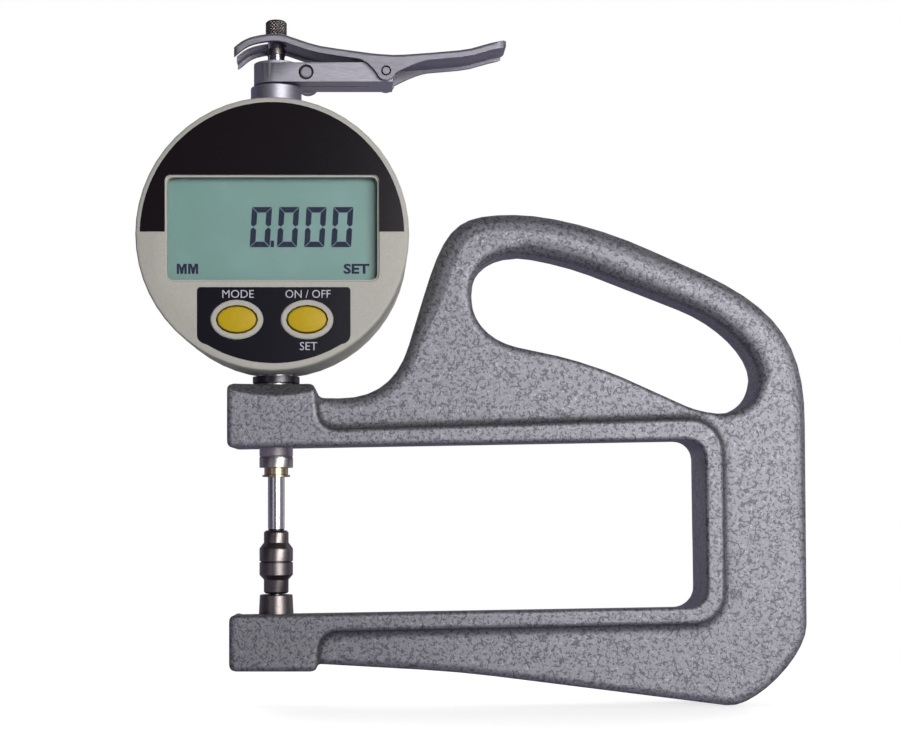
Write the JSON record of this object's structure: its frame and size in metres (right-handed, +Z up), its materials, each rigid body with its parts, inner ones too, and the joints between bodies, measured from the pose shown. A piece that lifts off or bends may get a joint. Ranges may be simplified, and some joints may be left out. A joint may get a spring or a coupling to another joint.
{
  "type": "digital thickness gauge",
  "caption": "Hand-held thickness gauge: a cast C frame with an oval handle carries a round digital indicator, and a forked lever lifts its sprung spindle",
  "frame": {"origin": "the spindle axis where it meets the underside of the lower jaw block", "axes": "+Z is up along the spindle, -Y is the way the display faces, +X points from the spindle into the throat towards the back of the frame"},
  "size_m": [0.1561, 0.0277, 0.1621],
  "materials": {
    "casting": "silver-grey hammertone paint on cast iron",
    "steel": "ground hardened steel",
    "polished": "polished steel",
    "brass": "plain turned brass",
    "aluminium": "satin aluminium",
    "housing": "fine matt light grey plastic",
    "button": "yellow plastic",
    "dark_plastic": "black plastic",
    "window": "clear pane",
    "display": "green-grey liquid crystal display",
    "board": "green circuit board"
  },
  "bodies": {
    "gauge": {"frame": "casting", "anvil_holder": "steel", "anvil": "steel", "anvil_set_screw": "steel", "stem": "polished", "guide_bush": "brass", "stem_collar": "steel", "stem_set_screw": "steel", "front_housing": "housing", "rear_cover": "housing", "cover_screw_1": "steel", "cover_screw_2": "steel", "cover_screw_3": "steel", "cover_screw_4": "steel", "battery": "steel", "lcd_window": "window", "lcd_module": "display", "circuit_board": "board", "reader_head": "dark_plastic", "switch_mode": "dark_plastic", "switch_set": "dark_plastic", "guide_rail": "aluminium", "return_spring": "polished", "top_bush": "steel", "top_collar": "polished", "clamp_block": "aluminium", "clamp_screw": "steel", "pivot_pin": "steel"},
    "spindle_set": {"spindle": "polished", "contact_point": "steel", "lifting_cap": "steel", "lock_nut": "steel", "scale_carrier": "aluminium", "glass_scale": "window", "anti_rotation_pin": "steel"},
    "lever": {"lever": "aluminium"},
    "mode_key": {"button_mode": "button"},
    "set_key": {"button_set": "button"},
    "battery_lid": {"battery_cap": "dark_plastic"}
  },
  "joints": [
    {"name": "spindle_lift", "type": "slide", "parent": "gauge", "child": "spindle_set", "axis": [0, 0, 1], "range_m": [0, 0.0125], "stiffness_N_per_m": 40, "springref_m": -0.03, "deforming": ["return_spring"]},
    {"name": "lever_turn", "type": "hinge", "parent": "gauge", "child": "lever", "pos_m": [0.0261, 0, 0.14055], "axis": [0, 1, 0], "range_deg": [0, 26.4]},
    {"name": "mode_press", "type": "slide", "parent": "gauge", "child": "mode_key", "axis": [0, 1, 0], "range_m": [0, 0.0005], "stiffness_N_per_m": 800, "springref_m": -0.0003},
    {"name": "set_press", "type": "slide", "parent": "gauge", "child": "set_key", "axis": [0, 1, 0], "range_m": [0, 0.0005], "stiffness_N_per_m": 800, "springref_m": -0.0003},
    {"name": "battery_lid_turn", "type": "hinge", "parent": "gauge", "child": "battery_lid", "pos_m": [0, 0.009, 0.0874], "axis": [0, 1, 0], "range_deg": [0, 30]}
  ],
  "couplings": [
    {"joint": "lever_turn", "follows": "spindle_lift", "rad_per_m": 36.765}
  ]
}
